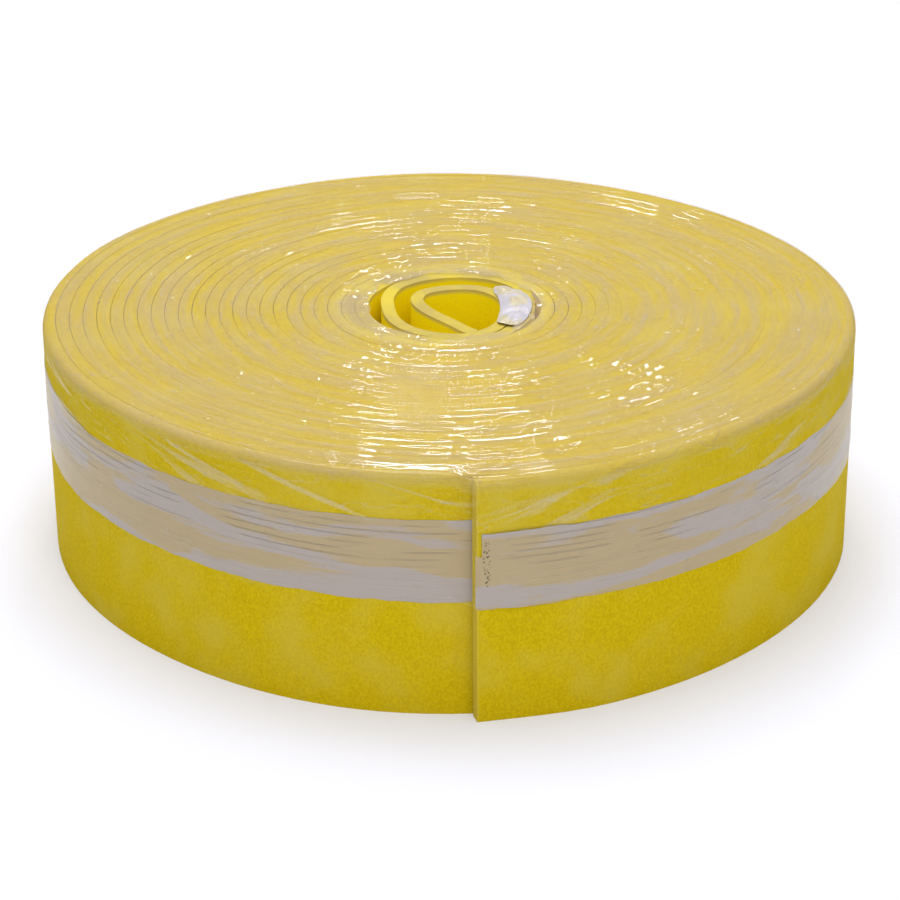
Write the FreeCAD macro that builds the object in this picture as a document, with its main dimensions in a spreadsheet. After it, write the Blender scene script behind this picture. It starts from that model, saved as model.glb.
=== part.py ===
import FreeCAD, Part
import math
import os
import Sketcher

# A roll of perimeter insulation strip lying on its flat end: one long strip of
# yellow polyethylene foam wound up on edge, with a milky film skirt bonded to
# its outer face and a clear stretch wrap over the top and the upper side.
# Millimetres. +Z is up, the origin is the middle of the footprint on the floor,
# and the strip's free outer end is at the front (-Y), a little right of centre.

SIZES = (
    ("strip_width", 150.0, "width of the foam strip, the height of the roll"),
    ("strip_thickness", 8.0, "thickness of the foam strip"),
    ("turn_gap", 0.15, "film and air between two turns"),
    ("roll_radius", 257.0, "outer radius of the roll at the strip's free end"),
    ("free_end_turn", 3.5, "how far the free end sits right of the front, degrees"),
    ("end_slant", 5.0, "how far the pressed end face leans along the strip"),
    ("joint_width", 0.8, "width of the line between two turns on the ends"),
    ("joint_depth", 1.5, "depth of that line"),
    ("bore_width", 66.0, "width of the hollow core"),
    ("bore_length", 74.0, "length of the hollow core, front to back"),
    ("bore_x", 3.0, "middle of the hollow core, to the right"),
    ("bore_y", -11.0, "middle of the hollow core, to the back"),
    ("tongue_curl", 16.0, "radius of the middle line of the curled inner end"),
    ("tongue_lean", 28.0, "lean of the inner end's straight run, degrees"),
    ("tongue_sink", 1.0, "how far the inner end is sunk in the core's wall"),
    ("skirt_width", 50.0, "width of the film skirt"),
    ("skirt_base", 69.0, "height of the skirt's lower edge above the floor"),
    ("skirt_thickness", 0.5, "thickness of the folded film skirt"),
    ("skirt_setback", 3.0, "bare foam between the free end and the skirt"),
    ("wrap_thickness", 0.5, "thickness of the stretch wrap"),
    ("wrap_base", 66.0, "height of the stretch wrap's lower edge"),
    ("wrap_bridge", 45.0, "length that the wrap spans beside the free end"),
    ("wrap_margin", 28.0, "foam left bare round the hollow core"),
    ("tab_width", 14.0, "width of the film's inner end, folded over the foam"),
    ("tab_length", 60.0, "length of that folded end"),
    ("tab_setback", 4.0, "bare foam between the hollow core and the folded end"),
    ("tab_back", 4.0, "middle of the folded end behind the middle of the core"),
)


def make_sheet(doc):
    sheet = doc.addObject("Spreadsheet::Sheet", "sizes")
    for row, (alias, value, meaning) in enumerate(SIZES, start=1):
        sheet.set(f"A{row}", alias)
        sheet.set(f"B{row}", str(value))
        sheet.set(f"C{row}", meaning)
        sheet.setAlias(f"B{row}", alias)
    doc.recompute()
    return sheet


def make_body(doc, name):
    body = doc.addObject("PartDesign::Body", name)
    doc.recompute()
    return body


def add_sketch(body, name, height="0", turn="0"):
    """An empty sketch on the body's own XY plane, raised and turned by sheet sizes."""
    plane = next(f for f in body.Origin.OriginFeatures if f.Role == "XY_Plane")
    sketch = body.newObject("Sketcher::SketchObject", name)
    sketch.AttachmentSupport = (plane, "")
    sketch.MapMode = "FlatFace"
    sketch.setExpression("AttachmentOffset.Base.z", height)
    sketch.setExpression("AttachmentOffset.Rotation.Angle", turn)
    return sketch


def add_core_sketch(body, name, height="0"):
    """A sketch centred on the hollow core, with its Y axis along the core's longer way."""
    turn = "sizes.bore_width > sizes.bore_length ? 90 : 0"
    sketch = add_sketch(body, name, height, turn)
    sketch.setExpression("AttachmentOffset.Base.x", "sizes.bore_x")
    sketch.setExpression("AttachmentOffset.Base.y", "sizes.bore_y")
    return sketch


def pin(sketch, constraint, name, expression):
    """Add a named dimension and bind it to the sheet."""
    index = sketch.addConstraint(constraint)
    sketch.renameConstraint(index, name)
    sketch.setExpression(f"Constraints.{name}", expression)


def draw_wound_outline(sketch, sheet, proud, bridge):
    """Outer line of the last turn: four quarter arcs that step inwards by one turn.

    proud is added to the roll's radius, and bridge is how far before the free
    end the line leaves the turn below to reach the outer corner.
    """
    pitch = sheet.strip_thickness + sheet.turn_gap
    step = pitch / 4
    added = sum(sheet.get(alias) for alias in proud)
    centre = FreeCAD.Vector(-1.5 * step, 0.5 * step, 0)
    moves = (FreeCAD.Vector(1, 0, 0), FreeCAD.Vector(0, 1, 0), FreeCAD.Vector(-1, 0, 0))
    for quarter in range(4):
        radius = sheet.roll_radius + added - quarter * step
        start = math.radians(90 * quarter - 90)
        sweep = math.pi / 2
        if quarter == 3:
            sweep -= math.asin(sheet.get(bridge) / radius)
        circle = Part.Circle(centre, FreeCAD.Vector(0, 0, 1), radius)
        sketch.addGeometry(Part.ArcOfCircle(circle, start, start + sweep), False)
        if quarter < 3:
            centre = centre + moves[quarter] * step
    foot = sketch.Geometry[3].EndPoint
    corner = sketch.Geometry[0].StartPoint
    sketch.addGeometry(Part.LineSegment(foot, corner), False)

    turn = "(sizes.strip_thickness + sizes.turn_gap)"
    extra = "".join(f" + sizes.{alias}" for alias in proud)
    for quarter in range(3):
        sketch.addConstraint(Sketcher.Constraint("Tangent", quarter, 2, quarter + 1, 1))
    sketch.addConstraint(Sketcher.Constraint("Coincident", 3, 2, 4, 1))
    sketch.addConstraint(Sketcher.Constraint("Coincident", 4, 2, 0, 1))
    sketch.addConstraint(Sketcher.Constraint("Vertical", 0, 3, 0, 1))
    sketch.addConstraint(Sketcher.Constraint("Horizontal", 0, 3, 0, 2))
    sketch.addConstraint(Sketcher.Constraint("Vertical", 1, 3, 1, 2))
    sketch.addConstraint(Sketcher.Constraint("Horizontal", 2, 3, 2, 2))
    for quarter in range(4):
        radius = sketch.Geometry[quarter].Radius
        pin(sketch, Sketcher.Constraint("Radius", quarter, radius), f"quarter_{quarter}",
            f"sizes.roll_radius{extra} - {quarter} * {turn} / 4")
    pin(sketch, Sketcher.Constraint("DistanceX", 0, 3, -1, 1, 1.5 * step),
        "centre_left", f"1.5 * {turn} / 4")
    pin(sketch, Sketcher.Constraint("DistanceY", -1, 1, 0, 3, 0.5 * step),
        "centre_back", f"0.5 * {turn} / 4")
    pin(sketch, Sketcher.Constraint("DistanceX", 3, 2, 0, 1, sheet.get(bridge)),
        "end_lean", f"sizes.{bridge}")


def draw_oval(sketch, sheet, margin):
    """The hollow core's outline round the sketch's own origin, let out by margin.

    Two half rounds and the flats between them, which run along the sketch's Y axis.
    """
    wider = 2 * sheet.get(margin) if margin else 0.0
    short, long = sorted((sheet.bore_width, sheet.bore_length))
    radius = (short + wider) / 2
    flat = long - short
    up = FreeCAD.Vector(0, 0, 1)
    back = FreeCAD.Vector(0, flat / 2, 0)
    front = FreeCAD.Vector(0, -flat / 2, 0)
    side = FreeCAD.Vector(radius, 0, 0)
    sketch.addGeometry(Part.ArcOfCircle(Part.Circle(back, up, radius), 0, math.pi), False)
    sketch.addGeometry(Part.LineSegment(back - side, front - side), False)
    sketch.addGeometry(Part.ArcOfCircle(Part.Circle(front, up, radius), math.pi, 2 * math.pi), False)
    sketch.addGeometry(Part.LineSegment(front + side, back + side), False)
    for first in range(4):
        sketch.addConstraint(Sketcher.Constraint("Tangent", first, 2, (first + 1) % 4, 1))
    sketch.addConstraint(Sketcher.Constraint("Vertical", 1))
    sketch.addConstraint(Sketcher.Constraint("Symmetric", 0, 3, 2, 3, -1, 1))
    extra = f" + 2 * sizes.{margin}" if margin else ""
    pin(sketch, Sketcher.Constraint("Radius", 0, radius), "round",
        f"(min(sizes.bore_width; sizes.bore_length){extra}) / 2")
    pin(sketch, Sketcher.Constraint("DistanceY", 2, 3, 0, 3, flat), "flat",
        "abs(sizes.bore_length - sizes.bore_width)")


def draw_tongue(sketch, sheet):
    """The strip's inner end: a straight run from the front wall, curled over to the back."""
    half = sheet.strip_thickness / 2
    lean = math.radians(sheet.tongue_lean)
    along = FreeCAD.Vector(-math.sin(lean), math.cos(lean), 0)
    across = FreeCAD.Vector(math.cos(lean), math.sin(lean), 0)
    back_wall = sheet.bore_y + sheet.bore_length / 2
    front_wall = sheet.bore_y - sheet.bore_length / 2
    centre_y = back_wall + sheet.tongue_sink - (sheet.tongue_curl - half)
    centre = FreeCAD.Vector(sheet.bore_x, centre_y, 0)
    run = (centre_y - across.y * sheet.tongue_curl - front_wall) / along.y
    for radius in (sheet.tongue_curl - half, sheet.tongue_curl + half):
        circle = Part.Circle(centre, FreeCAD.Vector(0, 0, 1), radius)
        bend = centre - across * radius
        sketch.addGeometry(Part.ArcOfCircle(circle, math.pi / 2, math.pi + lean), False)
        sketch.addGeometry(Part.LineSegment(bend, bend - along * run), False)
    inner_arc, inner_run, outer_arc, outer_run, tip, root = range(6)
    lines = sketch.Geometry
    sketch.addGeometry(Part.LineSegment(lines[inner_run].EndPoint, lines[outer_run].EndPoint), False)
    sketch.addGeometry(Part.LineSegment(lines[inner_arc].StartPoint, lines[outer_arc].StartPoint), False)
    sketch.addConstraint(Sketcher.Constraint("Tangent", inner_arc, 2, inner_run, 1))
    sketch.addConstraint(Sketcher.Constraint("Tangent", outer_arc, 2, outer_run, 1))
    sketch.addConstraint(Sketcher.Constraint("Coincident", inner_arc, 3, outer_arc, 3))
    sketch.addConstraint(Sketcher.Constraint("Coincident", inner_run, 2, tip, 1))
    sketch.addConstraint(Sketcher.Constraint("Coincident", outer_run, 2, tip, 2))
    sketch.addConstraint(Sketcher.Constraint("Coincident", inner_arc, 1, root, 1))
    sketch.addConstraint(Sketcher.Constraint("Coincident", outer_arc, 1, root, 2))
    sketch.addConstraint(Sketcher.Constraint("Parallel", inner_run, outer_run))
    sketch.addConstraint(Sketcher.Constraint("Perpendicular", inner_run, tip))
    sketch.addConstraint(Sketcher.Constraint("Vertical", root))
    sketch.addConstraint(Sketcher.Constraint("Vertical", inner_arc, 3, inner_arc, 1))
    pin(sketch, Sketcher.Constraint("Radius", inner_arc, sheet.tongue_curl - half), "inside",
        "sizes.tongue_curl - sizes.strip_thickness / 2")
    pin(sketch, Sketcher.Constraint("Radius", outer_arc, sheet.tongue_curl + half), "outside",
        "sizes.tongue_curl + sizes.strip_thickness / 2")
    pin(sketch, Sketcher.Constraint("DistanceX", -1, 1, inner_arc, 3, sheet.bore_x),
        "curl_right", "sizes.bore_x")
    curl_back = ("sizes.bore_y + sizes.bore_length / 2 + sizes.tongue_sink"
                 " - sizes.tongue_curl + sizes.strip_thickness / 2")
    pin(sketch, Sketcher.Constraint("DistanceY", -1, 1, inner_arc, 3, centre_y),
        "curl_back", curl_back)
    pin(sketch, Sketcher.Constraint("Angle", inner_run, lean - math.pi / 2),
        "lean", "sizes.tongue_lean * 1 deg - 90 deg")
    pin(sketch, Sketcher.Constraint("Distance", inner_run, run), "run",
        "(sizes.bore_length + sizes.tongue_sink - sizes.tongue_curl + sizes.strip_thickness / 2"
        " - sin(sizes.tongue_lean * 1 deg) * sizes.tongue_curl) / cos(sizes.tongue_lean * 1 deg)")


def draw_mouth(sketch, sheet):
    """A box over the strip's free end, where the film skirt stops short on both sides."""
    pitch = sheet.strip_thickness + sheet.turn_gap
    left = -1.5 * pitch / 4 - sheet.end_slant - sheet.skirt_setback
    right = -1.5 * pitch / 4 + sheet.skirt_setback
    low = -sheet.roll_radius - pitch
    high = -sheet.roll_radius + 2 * pitch
    corners = [FreeCAD.Vector(x, y, 0) for x, y in ((left, low), (right, low), (right, high), (left, high))]
    for corner in range(4):
        sketch.addGeometry(Part.LineSegment(corners[corner], corners[(corner + 1) % 4]), False)
    for corner in range(4):
        following = (corner + 1) % 4
        sketch.addConstraint(Sketcher.Constraint("Coincident", corner, 2, following, 1))
        straight = "Vertical" if corner % 2 else "Horizontal"
        sketch.addConstraint(Sketcher.Constraint(straight, corner))
    turn = "(sizes.strip_thickness + sizes.turn_gap)"
    pin(sketch, Sketcher.Constraint("DistanceX", 0, 1, -1, 1, -left), "left",
        f"1.5 * {turn} / 4 + sizes.end_slant + sizes.skirt_setback")
    pin(sketch, Sketcher.Constraint("DistanceX", 0, 1, 0, 2, right - left), "width",
        "sizes.end_slant + 2 * sizes.skirt_setback")
    pin(sketch, Sketcher.Constraint("DistanceY", 0, 1, -1, 1, -low), "front",
        f"sizes.roll_radius + {turn}")
    pin(sketch, Sketcher.Constraint("DistanceY", 1, 1, 1, 2, high - low), "depth", f"3 * {turn}")


def pad(body, sketch, length):
    feature = body.newObject("PartDesign::Pad", f"{sketch.Name}_pad")
    feature.Profile = sketch
    feature.setExpression("Length", length)
    return feature


def pocket(body, sketch, length):
    """Cut upwards from the sketch, into the solid that stands on it."""
    feature = body.newObject("PartDesign::Pocket", f"{sketch.Name}_pocket")
    feature.Profile = sketch
    feature.Reversed = True
    feature.setExpression("Length", length)
    return feature


def wound_line(sheet, offset, quarters):
    """The seam between the turns, moved out by offset: the outer line's arcs, carried on inwards.

    It begins in the air just before the free end, so that the cut is open there, and
    each quarter arc is tangent to the next.
    """
    step = (sheet.strip_thickness + sheet.turn_gap) / 4
    lead_in = math.asin(2 * sheet.end_slant / sheet.roll_radius)
    centre = FreeCAD.Vector(-1.5 * step, 1.5 * step, 0)
    edges = []
    for quarter in range(3, 3 + quarters):
        start = math.pi / 2 * (quarter - 1)
        end = start + math.pi / 2
        circle = Part.Circle(centre, FreeCAD.Vector(0, 0, 1), sheet.roll_radius + offset - quarter * step)
        begin = end - lead_in if quarter == 3 else start
        edges.append(Part.Arc(circle, begin, end).toShape())
        centre = centre + FreeCAD.Vector(math.cos(end), math.sin(end), 0) * step
    return edges


def make_turn_lines(doc, sheet):
    """The cutters for the seam between the turns, on the upper and the lower end."""
    step = (sheet.strip_thickness + sheet.turn_gap) / 4
    half = sheet.joint_width / 2
    core_reach = max(sheet.bore_length / 2 + abs(sheet.bore_y), sheet.bore_width / 2 + abs(sheet.bore_x))
    innermost = core_reach + sheet.strip_thickness
    quarters = int((sheet.roll_radius - innermost) / step) - 3
    outside = wound_line(sheet, half, quarters)
    inside = wound_line(sheet, -half, quarters)
    ends = []
    for seam_end in (0, -1):
        places = [Part.Wire(edges).OrderedVertexes[seam_end].Point for edges in (outside, inside)]
        ends.append(Part.makeLine(*places))
    face = Part.Face(Part.Wire(Part.sortEdges(outside + inside + ends)[0]))
    upper = face.extrude(FreeCAD.Vector(0, 0, 2 * sheet.joint_depth))
    lower = upper.copy()
    upper.translate(FreeCAD.Vector(0, 0, sheet.strip_width - sheet.joint_depth))
    lower.translate(FreeCAD.Vector(0, 0, -sheet.joint_depth))
    lines = doc.addObject("Part::Feature", "turn_lines")
    lines.Shape = Part.makeCompound([upper, lower])
    turned = FreeCAD.Rotation(FreeCAD.Vector(0, 0, 1), sheet.free_end_turn)
    lines.Placement = FreeCAD.Placement(FreeCAD.Vector(0, 0, 0), turned)
    return lines


def make_foam_roll(doc, sheet):
    body = make_body(doc, "wound_foam")
    outline = add_sketch(body, "foam_outline", turn="sizes.free_end_turn")
    draw_wound_outline(outline, sheet, (), "end_slant")
    pad(body, outline, "sizes.strip_width")
    bore = add_core_sketch(body, "foam_bore")
    draw_oval(bore, sheet, None)
    pocket(body, bore, "sizes.strip_width")
    tongue = add_sketch(body, "foam_tongue")
    draw_tongue(tongue, sheet)
    pad(body, tongue, "sizes.strip_width")
    roll = doc.addObject("Part::Cut", "foam_strip_roll")
    roll.Base = body
    roll.Tool = make_turn_lines(doc, sheet)
    return roll


def make_film_skirt(doc, sheet):
    """The film band on the last turn, open across the free end."""
    body = make_body(doc, "film_skirt")
    base = "sizes.skirt_base"
    turn = "sizes.free_end_turn"
    outside = add_sketch(body, "skirt_outside", base, turn)
    draw_wound_outline(outside, sheet, ("skirt_thickness",), "end_slant")
    pad(body, outside, "sizes.skirt_width")
    inside = add_sketch(body, "skirt_inside", base, turn)
    draw_wound_outline(inside, sheet, (), "end_slant")
    pocket(body, inside, "sizes.skirt_width")
    mouth = add_sketch(body, "skirt_mouth", base, turn)
    draw_mouth(mouth, sheet)
    pocket(body, mouth, "sizes.skirt_width")
    return body


def make_skirt_end(doc):
    """The film's inner end, which stands out beside the core and is folded flat over the foam."""
    tab = doc.addObject("Part::Box", "film_skirt_inner_end")
    tab.setExpression("Length", "sizes.tab_width")
    tab.setExpression("Width", "sizes.tab_length")
    tab.setExpression("Height", "sizes.skirt_thickness")
    tab.setExpression("Placement.Base.x", "sizes.bore_x + sizes.bore_width / 2 + sizes.tab_setback")
    tab.setExpression("Placement.Base.y", "sizes.bore_y + sizes.tab_back - sizes.tab_length / 2")
    tab.setExpression("Placement.Base.z", "sizes.strip_width")
    return tab


def make_stretch_wrap(doc, sheet):
    """A cap of clear film: over the top, round the rim and down over the film skirt."""
    body = make_body(doc, "stretch_wrap")
    base = "sizes.wrap_base"
    turn = "sizes.free_end_turn"
    outside = add_sketch(body, "wrap_outside", base, turn)
    draw_wound_outline(outside, sheet, ("skirt_thickness", "wrap_thickness"), "wrap_bridge")
    pad(body, outside, "sizes.strip_width + sizes.wrap_thickness - sizes.wrap_base")
    inside = add_sketch(body, "wrap_inside", base, turn)
    draw_wound_outline(inside, sheet, ("skirt_thickness",), "wrap_bridge")
    pocket(body, inside, "sizes.strip_width - sizes.wrap_base")
    hole = add_core_sketch(body, "wrap_hole", base)
    draw_oval(hole, sheet, "wrap_margin")
    pocket(body, hole, "sizes.strip_width + sizes.wrap_thickness - sizes.wrap_base")
    return body


def check(doc, parts):
    for item in doc.Objects:
        if "Invalid" in item.State or "Error" in item.State:
            raise RuntimeError(f"{item.Name} failed to rebuild: {item.State}")
    for piece in parts:
        if piece.Shape.isNull() or not piece.Shape.isValid():
            raise RuntimeError(f"{piece.Label} has no valid shape")
        print(piece.Label, "solids", len(piece.Shape.Solids), "volume", round(piece.Shape.Volume),
              "box", piece.Shape.BoundBox)


def main():
    doc = FreeCAD.newDocument("perimeter_insulation_roll")
    sheet = make_sheet(doc)
    parts = [
        make_foam_roll(doc, sheet),
        make_film_skirt(doc, sheet),
        make_skirt_end(doc),
        make_stretch_wrap(doc, sheet),
    ]
    doc.recompute()
    check(doc, parts)
    os.makedirs("parts", exist_ok=True)
    for piece in parts:
        piece.Shape.exportStep(f"parts/{piece.Label}.step")


main()
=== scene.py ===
"""The looks of a rolled perimeter insulation strip, built around its packed CAD model.

The roll is one long strip of yellow polyethylene foam, wound on itself and lying on its edge. A milky
film skirt is welded along the strip's outer face, and clear stretch wrap covers the top and the upper
side. The file is laid out as an add-on: sizes and colours are properties, each piece has an operator.
"""

import math

import bmesh
import bpy
from mathutils import Matrix, Vector, noise


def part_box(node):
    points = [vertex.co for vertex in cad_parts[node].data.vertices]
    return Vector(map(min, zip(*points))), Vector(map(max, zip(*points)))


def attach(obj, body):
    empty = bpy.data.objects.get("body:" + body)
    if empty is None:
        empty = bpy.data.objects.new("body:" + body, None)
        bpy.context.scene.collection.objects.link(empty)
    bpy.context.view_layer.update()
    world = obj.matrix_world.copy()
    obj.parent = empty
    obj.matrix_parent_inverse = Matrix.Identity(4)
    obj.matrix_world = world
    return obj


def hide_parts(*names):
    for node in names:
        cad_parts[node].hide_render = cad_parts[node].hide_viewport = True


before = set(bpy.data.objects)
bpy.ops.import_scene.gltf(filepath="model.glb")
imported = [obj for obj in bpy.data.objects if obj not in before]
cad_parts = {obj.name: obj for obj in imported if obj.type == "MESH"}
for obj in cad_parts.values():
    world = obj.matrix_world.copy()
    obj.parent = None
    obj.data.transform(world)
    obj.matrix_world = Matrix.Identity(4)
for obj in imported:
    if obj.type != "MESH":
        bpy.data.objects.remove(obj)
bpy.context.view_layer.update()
roll_low, roll_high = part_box("foam_strip_roll")
skirt_low, skirt_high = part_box("film_skirt")

bl_info = {
    "name": "Rolled perimeter insulation strip",
    "version": (1, 0, 0),
    "blender": (4, 5, 0),
    "location": "3D View > Sidebar > Insulation Roll",
    "description": "Makes a wound foam strip with its film skirt and its stretch wrap",
    "category": "Add Mesh",
}

MM = 0.001
TURN = 2 * math.pi

# The wound turns lie between these two radii, and inside them the strip has a route of its own.
ROLL_RADIUS = 256 * MM
CORE_RADIUS = 60 * MM

# How the roll leaves a circle: for each number of bulges round it, their two shares of the radius.
BULGES = ((2, 0.0024, -0.0087), (3, 0.0009, 0.0049), (4, 0.0077, -0.0010))
# The radius past which the bulges count in full.
BULGE_RADIUS = 240 * MM
# How flat the roll is at its far left, as a share of the radius.
LEFT_DENT = 0.007
# How far the innermost turns lie to the right and to the front of the roll's middle.
CORE_ASIDE = 7.5 * MM
CORE_FORWARD = 2.5 * MM
# How far the innermost turns are pressed in on the right, and the radius over which that fades.
CORE_PRESS = 4.5 * MM
PRESS_REACH = 35 * MM
# The angle over which the free end comes to rest on the turn below, in radians.
SETTLE_ANGLE = 0.3
# The angle over which the wrap spans the step beside the free end.
WRAP_BRIDGE = math.radians(4)
# Air under the skirt, and room for the skirt's creases under the wrap.
SKIRT_AIR = 0.05 * MM
SKIRT_ROOM = 0.7 * MM
# Points closer than this are one point.
MERGE_WITHIN = 0.001 * MM

# The lamps: name, place, width and height in metres, and power in watts.
LAMPS = (
    ("overhead", (-0.1, 0.2, 1.7), (0.9, 0.9), 12.0),
    ("front", (0.3, -1.5, 1.7), (0.8, 0.8), 6.0),
    ("back_middle", (0.0, 1.5, 1.15), (0.34, 0.05), 3.0),
    ("back_right", (0.42, 1.45, 1.3), (0.25, 0.04), 1.8),
)

# The strip's route inside the core, from its curled-in tip outwards, in mm from the roll's centre.
CORE_ROUTE = [
    (19, -46), (13, -40), (6, -30), (-2, -20), (-9, -10), (-14, 0), (-16, 10), (-13, 20),
    (-4, 26), (10, 29), (25, 26), (37, 13), (41, -6), (39, -24), (30, -42), (14, -52),
    (-4, -50), (-20, -40), (-30, -24), (-34, -4), (-34, 16), (-27, 34), (-10, 46), (12, 50),
    (34, 44), (49, 28), (54, 4), (51, -22), (40, -44),
]


# ------------------------------------------------------------------ sizes and colours


def linear(hex_colour):
    """An sRGB hex colour as the linear numbers that a shader takes."""
    shares = [int(hex_colour[at : at + 2], 16) / 255 for at in (1, 3, 5)]
    values = [s / 12.92 if s <= 0.04045 else ((s + 0.055) / 1.055) ** 2.4 for s in shares]
    return (*values, 1.0)


def length(name, description, default):
    """A property that holds a length in metres."""
    return bpy.props.FloatProperty(
        name=name, description=description, default=default, unit="LENGTH", precision=5
    )


def number(name, description, default):
    """A property that holds a plain number."""
    return bpy.props.FloatProperty(name=name, description=description, default=default)


def angle(name, description, degrees):
    """A property that holds an angle."""
    return bpy.props.FloatProperty(
        name=name, description=description, default=math.radians(degrees), subtype="ANGLE"
    )


def colour(name, description, hex_colour):
    """A property that holds a colour."""
    return bpy.props.FloatVectorProperty(
        name=name, description=description, default=linear(hex_colour), size=4, subtype="COLOR"
    )


class StripSizes(bpy.types.PropertyGroup):
    """Sizes of the wound foam strip."""

    width: length("Width", "Height of the strip as it lies on its edge", roll_high.z - roll_low.z)
    thickness: length("Thickness", "Thickness of the foam", 8.15 * MM)
    pitch: length("Pitch", "Distance from one turn to the next", 8.15 * MM)
    radius: length("Roll radius", "Outer radius at the strip's free end", ROLL_RADIUS)
    turns: number("Turns", "Turns from the free end to the core's own route", 24.108)
    free_end: angle("Free end", "Direction in which the strip's free end lies", -86.45)
    end_slant: length("End slant", "How far the cut end leans back at its outer face", 0.7 * MM)
    end_lift: length("End lift", "How far the free end stands off the turn below", 2.2 * MM)
    edge_round: length("Edge rounding", "Rounding of the strip's cut edges", 0.15 * MM)
    edge_rise: length("Edge rise", "How far the turns' top edges differ in height", 0.3 * MM)
    edge_press: length("Pressed edge", "Rounding of the last turn's upper edge", 4.5 * MM)


class SkirtSizes(bpy.types.PropertyGroup):
    """Sizes of the milky film skirt."""

    base: length("Base", "Height of the skirt's lower edge", skirt_low.z)
    width: length("Width", "Width of the folded skirt", skirt_high.z - skirt_low.z)
    setback: length("Setback", "From the strip's outer corner to the skirt's upper layer", 3.5 * MM)
    overlap: length("Overlap", "How far the lower layer reaches over the corner", 0.05 * MM)
    step: number("Step", "Share of the width at which the layers' ends step", 0.66)
    thickness: length("Thickness", "Thickness of the folded film", 0.2 * MM)
    crease: length("Crease height", "Height of the long creases", 0.45 * MM)


class WrapSizes(bpy.types.PropertyGroup):
    """Sizes of the clear stretch wrap."""

    thickness: length("Thickness", "Thickness of the wrap's layers", 0.2 * MM)
    clearance: length("Clearance", "Air between the foam and the wrap", 0.3 * MM)
    rim_round: length("Rim rounding", "Radius at which the wrap turns over the rim", 6 * MM)
    hem: length("Hem height", "Height at which the wrap ends on the side", skirt_low.z + 2.5 * MM)
    hem_wave: length("Hem unevenness", "How far the hem rises and falls", 2 * MM)
    hole: length("Hole radius", "Radius of the torn hole over the core", 55 * MM)
    hole_wave: length("Hole unevenness", "How ragged the hole's edge is", 7 * MM)
    sag: length("Sag", "How far the wrap dips between two turns", 0.9 * MM)


class FinishColours(bpy.types.PropertyGroup):
    """Colours of the foam and the films."""

    foam: colour("Foam", "Main colour of the foam", "#D6BD10")
    foam_deep: colour("Foam, deep", "Foam where its cells are open and dark", "#C5A905")
    # Painted glow: the core's foam takes this brighter colour in place of the light that passes through
    # the foam.
    foam_painted_glow: colour("Foam, fresh", "Clean foam in the core", "#FAE408")
    foam_pale: colour("Foam, pale", "Foam where its skin is rubbed", "#D0BA42")
    foam_veiled: colour("Foam, veiled", "Strip edges in the core, with film scraps on them", "#BFAB60")
    skirt_warm: colour("Skirt, warm", "Milky film that lies on the foam", "#B7A480")
    skirt_cool: colour("Skirt, cool", "Milky film that stands off the foam", "#B2A8A4")
    # Painted shade: this colour darkens the skirt's creases.
    skirt_crease_shade: colour("Skirt, dark", "Milky film folded double", "#8F8574")
    haze: colour("Wrap haze", "Light scattered by the wrap's layers over the top", "#CBB7A7")
    fan: colour("Wrap creases", "Light scattered by the wrap's creases on the side", "#E4DCC0")
    dirt: colour("Dirt", "Specks of dirt in the skirt's weld", "#5A5638")
    tab_warm: colour("Tab, warm", "Film tab in the core, in one layer", "#BFB28E")
    tab_cool: colour("Tab, cool", "Film tab in the core, where it is creased", "#BFBAC4")
    floor: colour("Floor", "Floor and backdrop", "#F4F4F4")
    floor_seen: colour("Floor, seen", "Floor as the camera sees it, under its own glow", "#DADBE6")
    white: colour("White", "Colour of the studio's light", "#FFFFFF")


class StudioSizes(bpy.types.PropertyGroup):
    """Where the camera stands."""

    distance: length("Distance", "Camera's distance from the roll's centre, level", 1.631)
    height: length("Height", "Camera's height above the floor", 0.805)
    sideways: length("Sideways", "Camera's offset to the right", -0.0047)
    tilt: angle("Tilt", "How far the camera looks down", 24.86)
    pan: angle("Pan", "How far the camera turns to the left", -0.304)
    roll: angle("Roll", "How far the camera leans", -0.473)
    lens: number("Lens", "Focal length in mm on a 36 mm wide sensor", 112.0)


# ------------------------------------------------------------------ nodes and meshes


def add_node(tree, kind, inputs=None, **settings):
    """Adds a node: settings go on the node, and each input gets a value or a link."""
    new = tree.nodes.new(kind)
    for name, value in settings.items():
        setattr(new, name, value)
    for key, value in (inputs or {}).items():
        if isinstance(value, bpy.types.NodeSocket):
            tree.links.new(value, new.inputs[key])
        else:
            new.inputs[key].default_value = value
    return new


def new_material(name):
    """An empty material, its node tree and its output node."""
    material = bpy.data.materials.new(name)
    material.use_nodes = True
    material.node_tree.nodes.clear()
    output = add_node(material.node_tree, "ShaderNodeOutputMaterial")
    return material, material.node_tree, output


def place_object(name, mesh):
    """Puts a mesh in the scene as an object at the origin."""
    made = bpy.data.objects.new(name, mesh)
    bpy.context.scene.collection.objects.link(made)
    return made


def apply_modifiers(made):
    """Turns an object's evaluated shape into its plain mesh, without modifiers."""
    graph = bpy.context.evaluated_depsgraph_get()
    mesh = bpy.data.meshes.new_from_object(made.evaluated_get(graph))
    made.modifiers.clear()
    made.data = mesh


def clean_mesh(mesh, smooth_below=35):
    """Merges doubles, turns the faces outwards and smooths all but the sharp edges."""
    work = bmesh.new()
    work.from_mesh(mesh)
    bmesh.ops.remove_doubles(work, verts=work.verts, dist=MERGE_WITHIN)
    bmesh.ops.recalc_face_normals(work, faces=work.faces)
    work.to_mesh(mesh)
    work.free()
    mesh.shade_smooth()
    mesh.set_sharp_from_angle(angle=math.radians(smooth_below))


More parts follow.
